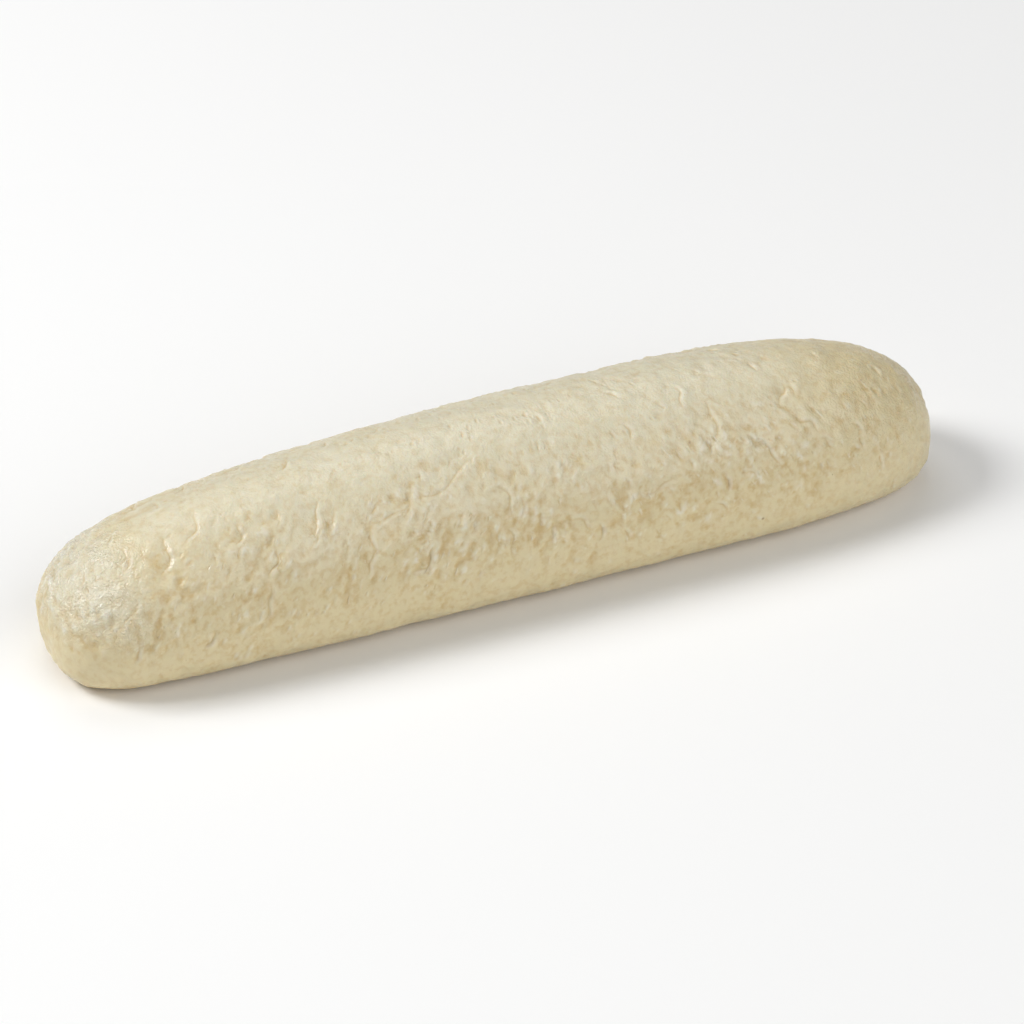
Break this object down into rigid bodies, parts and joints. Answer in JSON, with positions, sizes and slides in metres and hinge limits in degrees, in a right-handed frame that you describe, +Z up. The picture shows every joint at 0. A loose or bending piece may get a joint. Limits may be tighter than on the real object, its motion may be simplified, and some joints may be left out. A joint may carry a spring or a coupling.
{
  "type": "unbaked panini roll",
  "caption": "Stick-shaped panini roll of raw wheat dough: rounded on top, pressed flat underneath, blunt at one end and slimmer at the other.",
  "frame": {"origin": "on the resting surface, under the middle of the roll's box", "axes": "+X along the roll towards its blunt end, +Z up, -Y the side that the picture shows"},
  "size_m": [0.17, 0.0394, 0.0305],
  "materials": {
    "dough": "pale cream raw wheat dough with a satin skin, fine tucks and tan flecks"
  },
  "bodies": {
    "root": {"dough_stick": "dough"}
  },
  "joints": []
}
